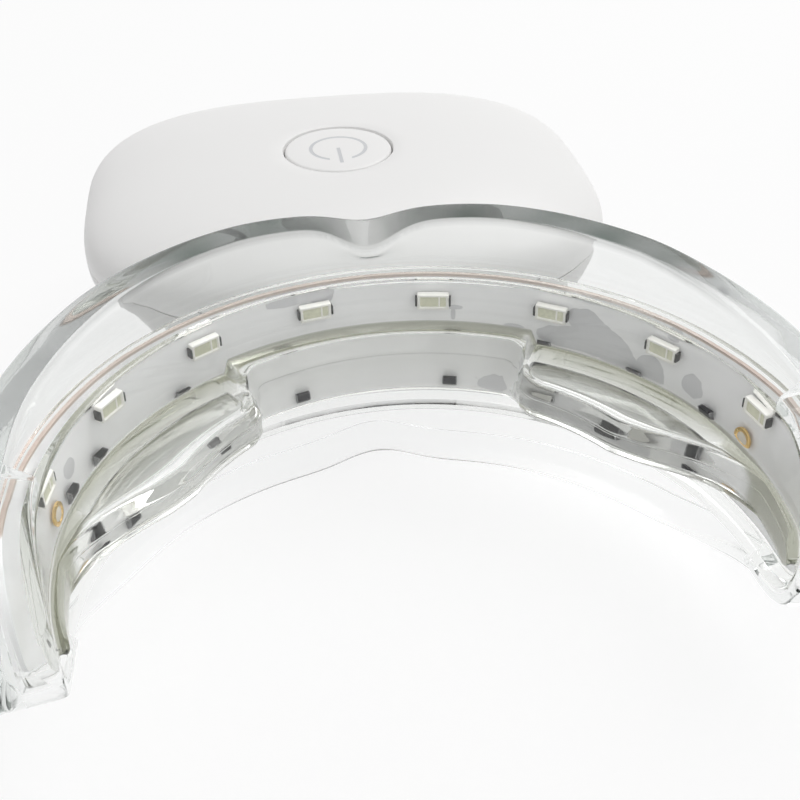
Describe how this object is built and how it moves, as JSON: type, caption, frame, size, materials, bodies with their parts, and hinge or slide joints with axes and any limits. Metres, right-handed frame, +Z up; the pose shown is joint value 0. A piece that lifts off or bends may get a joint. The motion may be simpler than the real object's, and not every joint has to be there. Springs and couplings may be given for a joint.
{
  "type": "led teeth whitening kit",
  "caption": "Clear silicone mouthpiece with a row of lamps on a curved strip, joined by a short stem to a smooth white housing with a round power button.",
  "frame": {"origin": "middle of the object's outline seen from above, at the level of the lower rim on which the mouthpiece stands", "axes": "+X across the mouth, +Y from the mouth out towards the housing, +Z up through the power button"},
  "size_m": [0.06, 0.08, 0.025],
  "materials": {
    "clear_silicone": "clear glossy silicone",
    "tray_silicone": "clear glossy silicone",
    "strip_white": "satin white solder mask",
    "tail_white": "glossy white film",
    "lamp_cream": "white case with a cream window",
    "resistor_black": "matt black",
    "copper": "bright copper",
    "white_shell": "satin white",
    "gasket_grey": "matt rubber",
    "button_white": "satin white",
    "switch_black": "matt black",
    "plunger_cream": "matt",
    "board_green": "satin green solder mask",
    "chip_black": "matt black",
    "inductor_grey": "matt ferrite",
    "connector_cream": "matt",
    "cell_silver": "satin foil",
    "foam_grey": "matt foam",
    "socket_steel": "plain steel"
  },
  "bodies": {
    "kit": {"outer_guard": "clear_silicone", "bite_tray": "tray_silicone", "led_flex_strip": "strip_white", "flex_tail": "tail_white", "led_1": "lamp_cream", "led_2": "lamp_cream", "led_3": "lamp_cream", "led_4": "lamp_cream", "led_5": "lamp_cream", "led_6": "lamp_cream", "led_7": "lamp_cream", "led_8": "lamp_cream", "resistor_1": "resistor_black", "resistor_2": "resistor_black", "resistor_3": "resistor_black", "resistor_4": "resistor_black", "resistor_5": "resistor_black", "resistor_6": "resistor_black", "resistor_7": "resistor_black", "resistor_8": "resistor_black", "copper_pad_left": "copper", "copper_pad_right": "copper", "upper_shell": "white_shell", "lower_shell": "white_shell", "housing_gasket": "gasket_grey", "switch_body": "switch_black", "main_board": "board_green", "controller_chip": "chip_black", "charger_chip": "chip_black", "power_inductor": "inductor_grey", "strip_connector": "connector_cream", "battery_cell": "cell_silver", "battery_pad": "foam_grey", "charge_socket": "socket_steel"},
    "button": {"power_button": "button_white"},
    "plunger": {"switch_plunger": "plunger_cream"}
  },
  "joints": [
    {"name": "button_press", "type": "slide", "parent": "kit", "child": "button", "axis": [0, 0, -1], "range_m": [0, 0.0004], "stiffness_N_per_m": 1500, "springref_m": -0.0004},
    {"name": "plunger_press", "type": "slide", "parent": "kit", "child": "plunger", "axis": [0, 0, -1], "range_m": [0, 0.0004]}
  ],
  "couplings": [
    {"joint": "plunger_press", "follows": "button_press", "ratio": 1}
  ]
}
